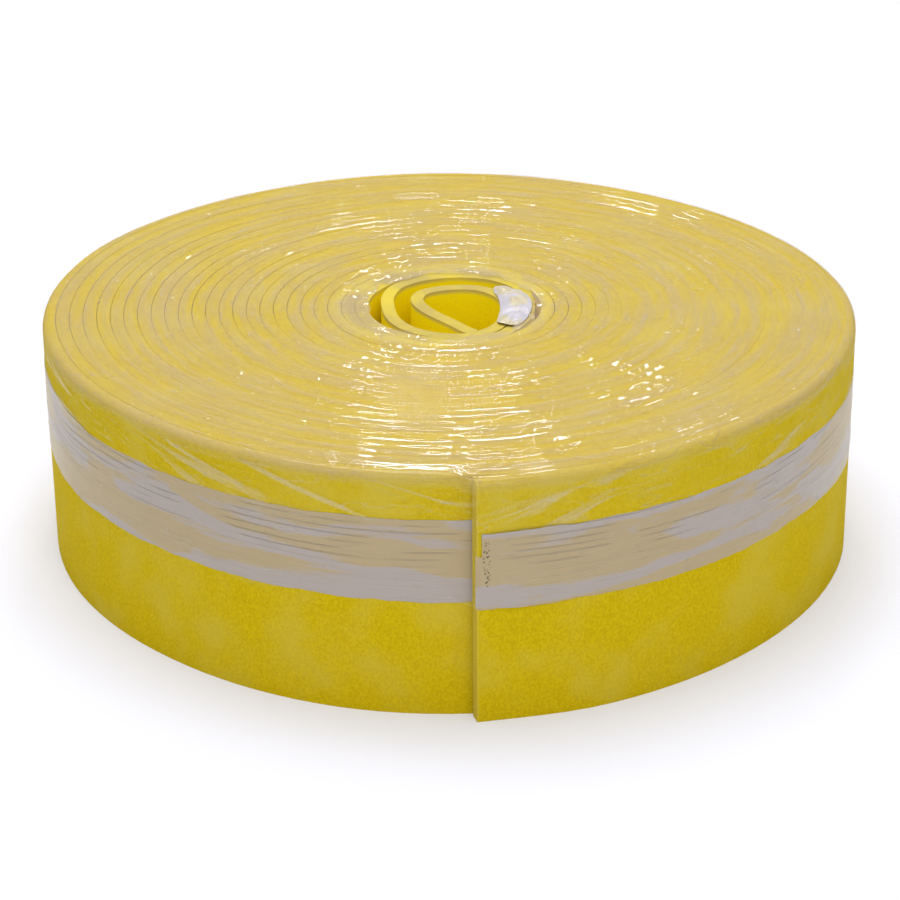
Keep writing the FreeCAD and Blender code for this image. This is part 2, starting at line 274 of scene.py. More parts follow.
def grid_mesh(name, rows, closed, attributes=()):
    """A mesh of quads over rows of points. A closed one joins the ends of every row.

    Each attribute is a name and a list with one vector for each point, row after row.
    """
    across = len(rows[0])
    last = across if closed else across - 1
    points = [point for row in rows for point in row]
    faces = []
    for row in range(len(rows) - 1):
        for at in range(last):
            here, beside = row * across + at, row * across + (at + 1) % across
            faces.append((here, beside, beside + across, here + across))
    mesh = bpy.data.meshes.new(name)
    mesh.from_pydata(points, [], faces)
    for label, values in attributes:
        layer = mesh.attributes.new(label, "FLOAT_VECTOR", "POINT")
        layer.data.foreach_set("vector", [part for value in values for part in value])
    return mesh


def make_shell(name, mesh, thickness, materials):
    """A closed shell of film from an open mesh. A second material goes on its hidden face."""
    for material in materials:
        mesh.materials.append(material)
    made = place_object(name, mesh)
    solid = made.modifiers.new("thickness", "SOLIDIFY")
    solid.thickness = thickness
    solid.offset = 1.0
    solid.material_offset = len(materials) - 1
    apply_modifiers(made)
    clean_mesh(made.data, 60)
    return made


# ------------------------------------------------------------------ shape of the roll


def blend_in(value, low, high):
    """A smooth step from 0 at low to 1 at high."""
    share = min(max((value - low) / (high - low), 0.0), 1.0)
    return share * share * (3 - 2 * share)


def roll_point(radius, azimuth):
    """Where a point of an evenly wound roll lies once the roll has sagged a little out of round."""
    wave = -LEFT_DENT * blend_in(-math.cos(azimuth), 0.9, 1.0)
    for count, cosine_share, sine_share in BULGES:
        wave += cosine_share * math.cos(count * azimuth) + sine_share * math.sin(count * azimuth)
    outer = blend_in(radius, CORE_RADIUS, BULGE_RADIUS)
    inner = min((ROLL_RADIUS - radius) / (ROLL_RADIUS - CORE_RADIUS), 1.0)
    right = (0.5 + 0.5 * math.cos(azimuth)) ** 4
    pressed = CORE_PRESS * right * math.exp(-(radius - CORE_RADIUS) / PRESS_REACH)
    reach = radius * (1 + outer * wave) - pressed
    x = reach * math.cos(azimuth) + CORE_ASIDE * inner
    y = reach * math.sin(azimuth) - CORE_FORWARD * inner
    return x, y


def turn_share(azimuth, sizes):
    """How far round its turn the strip is at an azimuth, from 0 at the free end to 1."""
    return ((azimuth - sizes.free_end) / TURN) % 1.0


def outer_radius(azimuth, sizes, ramp):
    """Radius of the outermost face. A film bridges the free end's step within the ramp angle."""
    share = turn_share(azimuth, sizes)
    radius = sizes.radius - sizes.pitch * share
    lifted = sizes.end_lift * math.exp(-share * TURN / SETTLE_ANGLE)
    step = blend_in(share, 1 - ramp / TURN, 1.0)
    return radius + lifted + step * (sizes.pitch + sizes.end_lift)


def edge_height(turn, sizes):
    """How far the strip's top edge stands above or below its mean, at a number of turns."""
    slow = noise.noise(Vector((turn * 1.7, 3.1, 0.0)))
    quick = noise.noise(Vector((turn * 9.0, 7.7, 0.0)))
    return sizes.edge_rise * (0.9 * slow + 0.5 * quick)


def strip_route(sizes):
    """Points along the middle of the strip, from its free end to its tip, and their edge heights."""
    steps_per_turn = 24
    turns_per_core_point = 0.05
    first = -sizes.end_slant / sizes.radius / TURN
    count = round((sizes.turns - first) * steps_per_turn)
    points = []
    heights = []
    for step in range(count):
        turn = first + (sizes.turns - first) * step / count
        around = turn * TURN
        radius = sizes.radius - sizes.thickness / 2 - sizes.pitch * turn
        radius += sizes.end_lift * math.exp(-max(around, 0.0) / SETTLE_ANGLE)
        x, y = roll_point(radius, sizes.free_end + around)
        points.append((x, y, sizes.width / 2))
        heights.append(edge_height(turn, sizes))
    for x, y in reversed(CORE_ROUTE):
        points.append((x * MM, y * MM, sizes.width / 2))
        turn = sizes.turns + len(points) * turns_per_core_point
        heights.append(edge_height(turn, sizes))
    return points, heights


# ------------------------------------------------------------------ materials


def foam_finish(colours):
    """Extruded closed-cell polyethylene foam, cut to strips. Its skin is matt, with next to no gloss, a
    fine grain of small cells, faint paler clouds, a few bright cells, and a paler cut end."""
    material, tree, output = new_material("closed_cell_polyethylene_foam")
    place = add_node(tree, "ShaderNodeTexCoord").outputs["Object"]
    along = add_node(tree, "ShaderNodeAttribute", attribute_name="along").outputs["Fac"]

    # Grain about 1.5 mm wide, a little drawn out upwards. The real cells are finer, and wouldn't show.
    drawn = add_node(
        tree, "ShaderNodeVectorMath", {0: place, 1: (1.0, 1.0, 0.75)}, operation="MULTIPLY"
    )
    grain = add_node(
        tree,
        "ShaderNodeTexNoise",
        {"Vector": drawn.outputs[0], "Scale": 700.0, "Detail": 3.0, "Roughness": 0.7},
    )
    deep_share = add_node(
        tree,
        "ShaderNodeMapRange",
        {"Value": grain.outputs["Fac"], "From Min": 0.34, "From Max": 0.66},
        interpolation_type="SMOOTHSTEP",
    )
    body = add_node(
        tree,
        "ShaderNodeMix",
        {0: deep_share.outputs[0], 6: colours.foam_deep, 7: colours.foam},
        data_type="RGBA",
    )

    # The cut end is paler over 1.6 mm, and so are rubbed places some 40 mm wide.
    cut = add_node(
        tree,
        "ShaderNodeMapRange",
        {"Value": along, "From Max": 1.6 * MM, "To Min": 0.9, "To Max": 0.0},
    )
    rubs = add_node(
        tree, "ShaderNodeTexNoise", {"Vector": place, "Scale": 25.0, "Detail": 5.0}
    )
    rubbed = add_node(
        tree,
        "ShaderNodeMapRange",
        {"Value": rubs.outputs["Fac"], "From Min": 0.42, "From Max": 0.75, "To Max": 0.7},
        interpolation_type="SMOOTHSTEP",
    )
    pale_share = add_node(
        tree, "ShaderNodeMath", {0: cut.outputs[0], 1: rubbed.outputs[0]}, operation="MAXIMUM"
    )
    paler = add_node(
        tree,
        "ShaderNodeMix",
        {0: pale_share.outputs[0], 6: body.outputs[2], 7: colours.foam_pale},
        data_type="RGBA",
    )

    # The strip in the core is painted brighter and more saturated: a painted glow in place of the light
    # that the foam lets through.
    level_place = add_node(
        tree, "ShaderNodeVectorMath", {0: place, 1: (1.0, 1.0, 0.0)}, operation="MULTIPLY"
    )
    reach = add_node(tree, "ShaderNodeVectorMath", {0: level_place.outputs[0]}, operation="LENGTH")
    core_painted_glow_share = add_node(
        tree,
        "ShaderNodeMapRange",
        {"Value": reach.outputs["Value"], "From Min": 58 * MM, "From Max": 74 * MM,
         "To Min": 1.0, "To Max": 0.0},
        interpolation_type="SMOOTHSTEP",
    )
    painted_glow_foam = add_node(
        tree,
        "ShaderNodeMix",
        {0: core_painted_glow_share.outputs[0], 6: paler.outputs[2], 7: colours.foam_painted_glow},
        data_type="RGBA",
    )

    # Its top edge is veiled by scraps of film, more in some places than in others.
    height = add_node(tree, "ShaderNodeSeparateXYZ", {0: place}).outputs["Z"]
    edge = add_node(
        tree,
        "ShaderNodeMapRange",
        {"Value": height, "From Min": roll_high.z - 4 * MM, "From Max": roll_high.z - 0.5 * MM},
        interpolation_type="SMOOTHSTEP",
    )
    scraps = add_node(
        tree,
        "ShaderNodeMapRange",
        {"Value": rubs.outputs["Fac"], "From Min": 0.38, "From Max": 0.58, "To Min": 0.6},
    )
    core_edge = add_node(
        tree, "ShaderNodeMath", {0: core_painted_glow_share.outputs[0], 1: edge.outputs[0]},
        operation="MULTIPLY",
    )
    veil_share = add_node(
        tree, "ShaderNodeMath", {0: core_edge.outputs[0], 1: scraps.outputs[0]},
        operation="MULTIPLY",
    )
    veiled = add_node(
        tree,
        "ShaderNodeMix",
        {0: veil_share.outputs[0], 6: painted_glow_foam.outputs[2], 7: colours.foam_veiled},
        data_type="RGBA",
    )

    # Single cells that catch the light, some 3 mm apart and about a millimetre wide.
    cells = add_node(tree, "ShaderNodeTexVoronoi", {"Vector": place, "Scale": 330.0})
    fleck = add_node(
        tree,
        "ShaderNodeMapRange",
        {"Value": cells.outputs["Distance"], "From Min": 0.08, "From Max": 0.22,
         "To Min": 0.45, "To Max": 0.0},
    )
    flecked = add_node(
        tree,
        "ShaderNodeMix",
        {0: fleck.outputs[0], 6: veiled.outputs[2], 7: colours.foam_pale},
        data_type="RGBA",
    )
    bump = add_node(
        tree,
        "ShaderNodeBump",
        {"Height": grain.outputs["Fac"], "Strength": 0.35, "Distance": 0.8 * MM},
    )
    shader = add_node(
        tree,
        "ShaderNodeBsdfPrincipled",
        {
            "Base Color": flecked.outputs[2],
            "Roughness": 0.85,
            "IOR": 1.5,
            "Specular IOR Level": 0.06,
            "Normal": bump.outputs[0],
        },
    )
    tree.links.new(shader.outputs[0], output.inputs["Surface"])
    return material


def crease_lines(tree, place, thinness):
    """Thin wandering lines, the contours of a noise, from 1 on a line to 0 off it."""
    noise_field = add_node(
        tree,
        "ShaderNodeTexNoise",
        {"Vector": place, "Scale": 1.0, "Detail": 1.0, "Distortion": 0.35},
    )
    offset = add_node(
        tree, "ShaderNodeMath", {0: noise_field.outputs["Fac"], 1: 0.5}, operation="SUBTRACT"
    )
    distance = add_node(tree, "ShaderNodeMath", {0: offset.outputs[0]}, operation="ABSOLUTE")
    line = add_node(
        tree,
        "ShaderNodeMapRange",
        {"Value": distance.outputs[0], "From Max": thinness, "To Min": 1.0, "To Max": 0.0},
        interpolation_type="SMOOTHSTEP",
    )
    return line.outputs[0]


def skirt_finish(colours):
    """Milky polyethylene film, blown and folded flat. It is half see-through, so it looks warm where
    it lies on the foam and lilac grey where air is under it, with long glossy creases."""
    material, tree, output = new_material("milky_polyethylene_film")
    sweep = add_node(tree, "ShaderNodeAttribute", attribute_name="sweep").outputs["Vector"]
    place = add_node(tree, "ShaderNodeTexCoord").outputs["Object"]

    # Patches about 100 mm long and 20 mm high where the film stands off, with quite sharp outlines.
    patch_place = add_node(
        tree, "ShaderNodeVectorMath", {0: sweep, 1: (2.4, 2.4, 52.0)}, operation="MULTIPLY"
    )
    patches = add_node(
        tree,
        "ShaderNodeTexNoise",
        {"Vector": patch_place.outputs[0], "Scale": 1.0, "Detail": 4.0, "Distortion": 0.6},
    )
    cool_share = add_node(
        tree,
        "ShaderNodeMapRange",
        {"Value": patches.outputs["Fac"], "From Min": 0.48, "From Max": 0.54},
        interpolation_type="SMOOTHSTEP",
    )
    two_tone = add_node(
        tree,
        "ShaderNodeMix",
        {0: cool_share.outputs[0], 6: colours.skirt_warm, 7: colours.skirt_cool},
        data_type="RGBA",
    )

    # Creases some 4 mm apart that run side by side along the film, most of them in its upper half.
    # They come and go over stretches some 40 mm long.
    crease_place = add_node(
        tree, "ShaderNodeVectorMath", {0: sweep, 1: (3.0, 3.0, 75.0)}, operation="MULTIPLY"
    )
    waves = add_node(
        tree,
        "ShaderNodeTexWave",
        {"Vector": crease_place.outputs[0], "Scale": 1.0, "Distortion": 5.0, "Detail": 1.0,
         "Detail Scale": 0.5},
        wave_type="BANDS",
        bands_direction="Z",
    )
    lines = add_node(
        tree,
        "ShaderNodeMapRange",
        {"Value": waves.outputs["Fac"], "From Min": 0.80, "From Max": 0.98},
        interpolation_type="SMOOTHSTEP",
    )
    stretch_place = add_node(
        tree, "ShaderNodeVectorMath", {0: sweep, 1: (6.0, 6.0, 110.0)}, operation="MULTIPLY"
    )
    stretches = add_node(
        tree,
        "ShaderNodeTexNoise",
        {"Vector": stretch_place.outputs[0], "Scale": 1.0, "Detail": 1.0},
    )
    stretch_share = add_node(
        tree,
        "ShaderNodeMapRange",
        {"Value": stretches.outputs["Fac"], "From Min": 0.44, "From Max": 0.58},
        interpolation_type="SMOOTHSTEP",
    )
    height = add_node(tree, "ShaderNodeSeparateXYZ", {0: place}).outputs["Z"]
    upper = add_node(
        tree,
        "ShaderNodeMapRange",
        {"Value": height, "From Min": skirt_low.z + 22 * MM, "From Max": skirt_low.z + 32 * MM,
         "To Min": 0.2, "To Max": 1.0},
        interpolation_type="SMOOTHSTEP",
    )
    marked = add_node(
        tree, "ShaderNodeMath", {0: lines.outputs[0], 1: stretch_share.outputs[0]},
        operation="MULTIPLY",
    )
    crease = add_node(
        tree, "ShaderNodeMath", {0: marked.outputs[0], 1: upper.outputs[0]}, operation="MULTIPLY"
    )
    # The creases are painted darker with the crease shade colour: painted shade in their folds.
    shade = add_node(
        tree, "ShaderNodeMath", {0: crease.outputs[0], 1: 0.45}, operation="MULTIPLY"
    )
    creased = add_node(
        tree,
        "ShaderNodeMix",
        {0: shade.outputs[0], 6: two_tone.outputs[2], 7: colours.skirt_crease_shade},
        data_type="RGBA",
    )

    # Dirt in the weld, in specks about a millimetre wide. They lie just past the strip's free end, in a
    # patch 6 mm wide and 43 mm high that gets thinner towards its edge.
    away = add_node(
        tree,
        "ShaderNodeVectorMath",
        {0: place, 1: (22.2 * MM, -ROLL_RADIUS, skirt_low.z + 31 * MM)},
        operation="SUBTRACT",
    )
    away_share = add_node(
        tree, "ShaderNodeVectorMath", {0: away.outputs[0], 1: (330.0, 10.0, 46.0)},
        operation="MULTIPLY",
    )
    reach = add_node(tree, "ShaderNodeVectorMath", {0: away_share.outputs[0]}, operation="LENGTH")
    close = add_node(
        tree,
        "ShaderNodeMapRange",
        {"Value": reach.outputs["Value"], "From Min": 0.5, "From Max": 1.0,
         "To Min": 0.36, "To Max": 0.0},
    )
    specks = add_node(tree, "ShaderNodeTexVoronoi", {"Vector": place, "Scale": 640.0})
    dirt = add_node(
        tree, "ShaderNodeMath", {0: specks.outputs["Distance"], 1: close.outputs[0]},
        operation="LESS_THAN",
    )
    dirty = add_node(
        tree,
        "ShaderNodeMix",
        {0: dirt.outputs[0], 6: creased.outputs[2], 7: colours.dirt},
        data_type="RGBA",
    )
    bump = add_node(
        tree,
        "ShaderNodeBump",
        {"Height": crease.outputs[0], "Strength": 0.6, "Distance": 0.6 * MM},
    )
    shader = add_node(
        tree,
        "ShaderNodeBsdfPrincipled",
        {
            "Base Color": dirty.outputs[2],
            "Roughness": 0.32,
            "IOR": 1.51,
            "Specular IOR Level": 0.35,
            "Normal": bump.outputs[0],
        },
    )
    tree.links.new(shader.outputs[0], output.inputs["Surface"])
    return material


def tab_finish(colours):
    """The same milky film, loose and crumpled: nearly white and glossy, with a few sharp creases."""
    material, tree, output = new_material("milky_polyethylene_film_loose")
    place = add_node(tree, "ShaderNodeTexCoord").outputs["Object"]

    # Patches some 14 mm wide where the film lies in one layer, and creases 10 to 20 mm apart.
    patches = add_node(
        tree, "ShaderNodeTexNoise", {"Vector": place, "Scale": 70.0, "Detail": 2.0}
    )
    share = add_node(
        tree,
        "ShaderNodeMapRange",
        {"Value": patches.outputs["Fac"], "From Min": 0.42, "From Max": 0.56},
        interpolation_type="SMOOTHSTEP",
    )
    two_tone = add_node(
        tree,
        "ShaderNodeMix",
        {0: share.outputs[0], 6: colours.tab_warm, 7: colours.tab_cool},
        data_type="RGBA",
    )
    crease_place = add_node(
        tree, "ShaderNodeVectorMath", {0: place, 1: (90.0, 45.0, 90.0)}, operation="MULTIPLY"
    )
    lines = crease_lines(tree, crease_place.outputs[0], 0.03)
    bump = add_node(
        tree, "ShaderNodeBump", {"Height": lines, "Strength": 0.4, "Distance": 0.6 * MM}
    )
    shader = add_node(
        tree,
        "ShaderNodeBsdfPrincipled",
        {
            "Base Color": two_tone.outputs[2],
            "Roughness": 0.35,
            "IOR": 1.51,
            "Specular IOR Level": 0.4,
            "Normal": bump.outputs[0],
        },
    )
    tree.links.new(shader.outputs[0], output.inputs["Surface"])
    return material


def wrap_finish(colours):
    """Cast polyethylene stretch film, pulled tight in a few layers. It is clear and glossy, whitish
    where it is creased or bridges the turns, and its small folds throw hard glints."""
    material, tree, output = new_material("clear_stretch_film")
    sweep = add_node(tree, "ShaderNodeAttribute", attribute_name="sweep").outputs["Vector"]
    place = add_node(tree, "ShaderNodeTexCoord").outputs["Object"]
    reach = add_node(tree, "ShaderNodeSeparateXYZ", {0: sweep}).outputs["Z"]

    # The layers over the turns' edges scatter more than the single one pulled over the side. "Reach" is
    # the way along the film from the roll's middle, and the layers end over the first 10 mm of the side.
    over_top = add_node(
        tree,
        "ShaderNodeMapRange",
        {"Value": reach, "From Min": ROLL_RADIUS + 1 * MM, "From Max": ROLL_RADIUS + 10 * MM,
         "To Min": 1.0, "To Max": 0.0},
        interpolation_type="SMOOTHSTEP",
    )

    # Haze in arcs as wide as a turn or less, and 40 to 110 mm long.
    arc_place = add_node(
        tree, "ShaderNodeVectorMath", {0: sweep, 1: (2.4, 2.4, 150.0)}, operation="MULTIPLY"
    )
    arcs = add_node(
        tree,
        "ShaderNodeTexNoise",
        {"Vector": arc_place.outputs[0], "Scale": 1.0, "Detail": 2.0, "Roughness": 0.55},
    )
    arc_haze = add_node(
        tree,
        "ShaderNodeMapRange",
        {"Value": arcs.outputs["Fac"], "From Min": 0.32, "From Max": 0.70,
         "To Min": 0.14, "To Max": 0.32},
        interpolation_type="SMOOTHSTEP",
    )
    top_haze = add_node(
        tree, "ShaderNodeMath", {0: arc_haze.outputs[0], 1: over_top.outputs[0]},
        operation="MULTIPLY",
    )

    # Soft creases some 10 mm wide and 110 mm long fan out over the side: from each end of the front they
    # run down to its middle. Over the skirt they hardly show.
    parts = add_node(tree, "ShaderNodeSeparateXYZ", {0: place})
    sideways = add_node(tree, "ShaderNodeMath", {0: parts.outputs["X"]}, operation="ABSOLUTE")
    slope = add_node(
        tree,
        "ShaderNodeMath",
        {0: sideways.outputs[0], 1: -0.30, 2: parts.outputs["Z"]},
        operation="MULTIPLY_ADD",
    )
    fan_place = add_node(
        tree,
        "ShaderNodeCombineXYZ",
        {"X": parts.outputs["X"], "Y": parts.outputs["Y"], "Z": slope.outputs[0]},
    )
    fan_scaled = add_node(
        tree, "ShaderNodeVectorMath", {0: fan_place.outputs[0], 1: (9.0, 9.0, 95.0)},
        operation="MULTIPLY",
    )
    fans = add_node(
        tree,
        "ShaderNodeTexNoise",
        {"Vector": fan_scaled.outputs[0], "Scale": 1.0, "Detail": 3.0, "Distortion": 0.7},
    )
    fan_haze = add_node(
        tree,
        "ShaderNodeMapRange",
        {"Value": fans.outputs["Fac"], "From Min": 0.55, "From Max": 0.65,
         "To Min": 0.01, "To Max": 0.28},
        interpolation_type="SMOOTHSTEP",
    )
    below_rim = add_node(
        tree, "ShaderNodeMath", {0: 1.0, 1: over_top.outputs[0]}, operation="SUBTRACT"
    )
    over_skirt = add_node(
        tree,
        "ShaderNodeMapRange",
        {"Value": parts.outputs["Z"], "From Min": skirt_high.z, "From Max": skirt_high.z + 4 * MM,
         "To Min": 0.15},
    )
    on_side = add_node(
        tree, "ShaderNodeMath", {0: below_rim.outputs[0], 1: over_skirt.outputs[0]},
        operation="MULTIPLY",
    )
    side_haze = add_node(
        tree,
        "ShaderNodeMath",
        {0: fan_haze.outputs[0], 1: on_side.outputs[0], 2: top_haze.outputs[0]},
        operation="MULTIPLY_ADD",
    )

    # Thin stretch lines that wander along the turns, 4 to 8 mm apart.
    line_place = add_node(
        tree, "ShaderNodeVectorMath", {0: sweep, 1: (4.5, 4.5, 130.0)}, operation="MULTIPLY"
    )
    lines = crease_lines(tree, line_place.outputs[0], 0.018)
    haze = add_node(
        tree,
        "ShaderNodeMath",
        {0: lines, 1: 0.14, 2: side_haze.outputs[0]},
        operation="MULTIPLY_ADD",
    )

    # A few crumples some millimetres wide, for single glints, on an almost smooth film.
    crumple = add_node(
        tree,
        "ShaderNodeTexNoise",
        {"Vector": place, "Scale": 120.0, "Detail": 1.0, "Distortion": 0.8},
    )
    knots = add_node(
        tree,
        "ShaderNodeMapRange",
        {"Value": crumple.outputs["Fac"], "From Min": 0.60, "From Max": 0.78, "To Max": 1.2},
        interpolation_type="SMOOTHSTEP",
    )
    relief = add_node(
        tree,
        "ShaderNodeMath",
        {0: lines, 1: 0.25, 2: knots.outputs[0]},
        operation="MULTIPLY_ADD",
    )
    bump = add_node(
        tree,
        "ShaderNodeBump",
        {"Height": relief.outputs[0], "Strength": 0.5, "Distance": 1.2 * MM},
    )
    tint = add_node(
        tree,
        "ShaderNodeMix",
        {0: over_top.outputs[0], 6: colours.fan, 7: colours.haze},
        data_type="RGBA",
    )
    shader = add_node(
        tree,
        "ShaderNodeBsdfPrincipled",
        {
            "Base Color": tint.outputs[2],
            "Roughness": 0.05,
            "IOR": 1.5,
            "Specular IOR Level": 1.0,
            "Alpha": haze.outputs[0],
            "Normal": bump.outputs[0],
        },
    )
    tree.links.new(shader.outputs[0], output.inputs["Surface"])
    return material


def wrap_back_finish(colours):
    """The same stretch film's hidden face, next to the foam: clear, with hardly any haze."""
    material, tree, output = new_material("clear_stretch_film_back")
    shader = add_node(
        tree,
        "ShaderNodeBsdfPrincipled",
        {"Base Color": colours.haze, "Roughness": 0.3, "IOR": 1.5, "Alpha": 0.01},
    )
    tree.links.new(shader.outputs[0], output.inputs["Surface"])
    return material


# ------------------------------------------------------------------ the pieces


def strip_tree():
    """Geometry Nodes that sweep a foam strip along a path of edges.

    The path's points carry "height", how far the top edge rises there. The result carries "along",
    the distance from the free end.
    """
    tree = bpy.data.node_groups.new("wound foam strip", "GeometryNodeTree")
    tree.interface.new_socket("Path", in_out="INPUT", socket_type="NodeSocketGeometry")
    for name in ("Width", "Thickness", "Edge Rounding", "End Slant"):
        tree.interface.new_socket(name, in_out="INPUT", socket_type="NodeSocketFloat")
    tree.interface.new_socket("Finish", in_out="INPUT", socket_type="NodeSocketMaterial")
    tree.interface.new_socket("Strip", in_out="OUTPUT", socket_type="NodeSocketGeometry")
    start = add_node(tree, "NodeGroupInput").outputs

    curve = add_node(tree, "GeometryNodeMeshToCurve", {0: start["Path"]})
    smooth = add_node(
        tree, "GeometryNodeCurveSplineType", {0: curve.outputs[0]}, spline_type="CATMULL_ROM"
    )
    fine = add_node(
        tree, "GeometryNodeSetSplineResolution", {"Geometry": smooth.outputs[0], "Resolution": 5}
    )
    dense = add_node(
        tree, "GeometryNodeResampleCurve", {"Curve": fine.outputs[0]}, mode="EVALUATED"
    )
    upright = add_node(
        tree, "GeometryNodeSetCurveNormal", {"Curve": dense.outputs[0]}, mode="Z_UP"
    )

    place = add_node(tree, "GeometryNodeInputPosition")
    tangent = add_node(tree, "GeometryNodeInputTangent")
    route = add_node(tree, "GeometryNodeSplineParameter")
    kept = upright.outputs[0]
    for label, kind, value in (
        ("middle", "FLOAT_VECTOR", place.outputs[0]),
        ("onward", "FLOAT_VECTOR", tangent.outputs[0]),
        ("along", "FLOAT", route.outputs["Length"]),
    ):
        store = add_node(
            tree,
            "GeometryNodeStoreNamedAttribute",
            {"Geometry": kept, "Name": label, "Value": value},
            data_type=kind,
        )
        kept = store.outputs[0]

    section = add_node(
        tree,
        "GeometryNodeCurvePrimitiveQuadrilateral",
        {"Width": start["Thickness"], "Height": start["Width"]},
    )
    rounded = add_node(
        tree,
        "GeometryNodeFilletCurve",
        {"Curve": section.outputs[0], "Count": 3, "Radius": start["Edge Rounding"]},
        mode="POLY",
    )
    sweep = add_node(
        tree,
        "GeometryNodeCurveToMesh",
        {"Curve": kept, "Profile Curve": rounded.outputs[0], "Fill Caps": True},
    )

    # The top edge rises and falls, and the bottom edge stays on the floor.
    here = add_node(tree, "GeometryNodeInputPosition")
    parts = add_node(tree, "ShaderNodeSeparateXYZ", {0: here.outputs[0]})
    level = add_node(
        tree, "ShaderNodeMath", {0: parts.outputs["Z"], 1: start["Width"]}, operation="DIVIDE"
    )
    height = add_node(
        tree, "GeometryNodeInputNamedAttribute", {"Name": "height"}, data_type="FLOAT"
    )
    rise = add_node(
        tree, "ShaderNodeMath", {0: level.outputs[0], 1: height.outputs[0]}, operation="MULTIPLY"
    )
    lift = add_node(tree, "ShaderNodeCombineXYZ", {"Z": rise.outputs[0]})

    # The cut end leans back towards its outer face, which fades out over 30 mm.
    middle = add_node(
        tree, "GeometryNodeInputNamedAttribute", {"Name": "middle"}, data_type="FLOAT_VECTOR"
    )
    onward = add_node(
        tree, "GeometryNodeInputNamedAttribute", {"Name": "onward"}, data_type="FLOAT_VECTOR"
    )
    outward = add_node(
        tree,
        "ShaderNodeVectorMath",
        {0: onward.outputs[0], 1: (0.0, 0.0, 1.0)},
        operation="CROSS_PRODUCT",
    )
    reach = add_node(
        tree, "ShaderNodeVectorMath", {0: here.outputs[0], 1: middle.outputs[0]},
        operation="SUBTRACT",
    )
    outness = add_node(
        tree, "ShaderNodeVectorMath", {0: reach.outputs[0], 1: outward.outputs[0]},
        operation="DOT_PRODUCT",
    )
    face = add_node(
        tree, "ShaderNodeMath", {0: outness.outputs["Value"], 1: start["Thickness"]},
        operation="DIVIDE",
    )
    face_share = add_node(
        tree, "ShaderNodeMath", {0: face.outputs[0], 1: 0.5}, operation="ADD"
    )
    along = add_node(tree, "GeometryNodeInputNamedAttribute", {"Name": "along"}, data_type="FLOAT")
    near_end = add_node(
        tree,
        "ShaderNodeMapRange",
        {"Value": along.outputs[0], "From Max": 30 * MM, "To Min": 1.0, "To Max": 0.0},
    )
    slant = add_node(
        tree, "ShaderNodeMath", {0: face_share.outputs[0], 1: near_end.outputs[0]},
        operation="MULTIPLY",
    )
    back = add_node(
        tree, "ShaderNodeMath", {0: slant.outputs[0], 1: start["End Slant"]}, operation="MULTIPLY"
    )
    shift = add_node(
        tree, "ShaderNodeVectorMath", {0: onward.outputs[0], "Scale": back.outputs[0]},
        operation="SCALE",
    )
    offset = add_node(
        tree, "ShaderNodeVectorMath", {0: lift.outputs[0], 1: shift.outputs[0]}, operation="ADD"
    )
    shaped = add_node(
        tree, "GeometryNodeSetPosition", {"Geometry": sweep.outputs[0], "Offset": offset.outputs[0]}
    )
    real = add_node(tree, "GeometryNodeRealizeInstances", {0: shaped.outputs[0]})
    painted = add_node(
        tree, "GeometryNodeSetMaterial", {"Geometry": real.outputs[0], "Material": start["Finish"]}
    )
    add_node(tree, "NodeGroupOutput", {0: painted.outputs[0]})
    return tree


def set_inputs(modifier, values):
    """Sets a Geometry Nodes modifier's inputs, which are found by their names."""
    for item in modifier.node_group.interface.items_tree:
        if item.item_type == "SOCKET" and item.in_out == "INPUT" and item.name in values:
            modifier[item.identifier] = values[item.name]


def press_outer_edge(mesh, sizes):
    """Rounds the last turn's upper outer edge, which the tight wrap presses in.

    The points of its small rounding move out to a larger one. That ends where the free end begins.
    """
    growth = sizes.edge_press / sizes.edge_round - 1
    last_turn = TURN * (sizes.radius - sizes.pitch)
    along = mesh.attributes["along"].data
    middle = mesh.attributes["middle"].data
    onward = mesh.attributes["onward"].data
    heights = mesh.attributes["height"].data
    upwards = Vector((0.0, 0.0, 1.0))
    for at, vertex in enumerate(mesh.vertices):
        share = 1 - blend_in(along[at].value, 0.98 * last_turn, last_turn)
        outward = onward[at].vector.cross(upwards).normalized()
        inset = sizes.thickness / 2 - (vertex.co - middle[at].vector).dot(outward)
        below = sizes.width + heights[at].value - vertex.co.z
        if share > 0 and max(inset, below) < 2 * sizes.edge_round:
            vertex.co -= (outward * inset + upwards * below) * growth * share


class INSULATION_OT_foam_strip(bpy.types.Operator):
    """Winds the foam strip into its roll"""

    bl_idname = "insulation.foam_strip"
    bl_label = "Wind Foam Strip"

    def execute(self, context):
        sizes = context.scene.strip_sizes
        finish = foam_finish(context.scene.finish_colours)
        points, heights = strip_route(sizes)
        path = bpy.data.meshes.new("strip path")
        path.from_pydata(points, [(at, at + 1) for at in range(len(points) - 1)], [])
        layer = path.attributes.new("height", "FLOAT", "POINT")
        layer.data.foreach_set("value", heights)
        strip = place_object("foam_strip_roll_wound", path)
        modifier = strip.modifiers.new("wind", "NODES")
        modifier.node_group = strip_tree()
        set_inputs(modifier, {
            "Width": sizes.width,
            "Thickness": sizes.thickness,
            "Edge Rounding": sizes.edge_round,
            "End Slant": sizes.end_slant,
            "Finish": finish,
        })
        apply_modifiers(strip)
        press_outer_edge(strip.data, sizes)
        clean_mesh(strip.data)
        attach(strip, "root")
        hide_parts("foam_strip_roll")
        return {"FINISHED"}


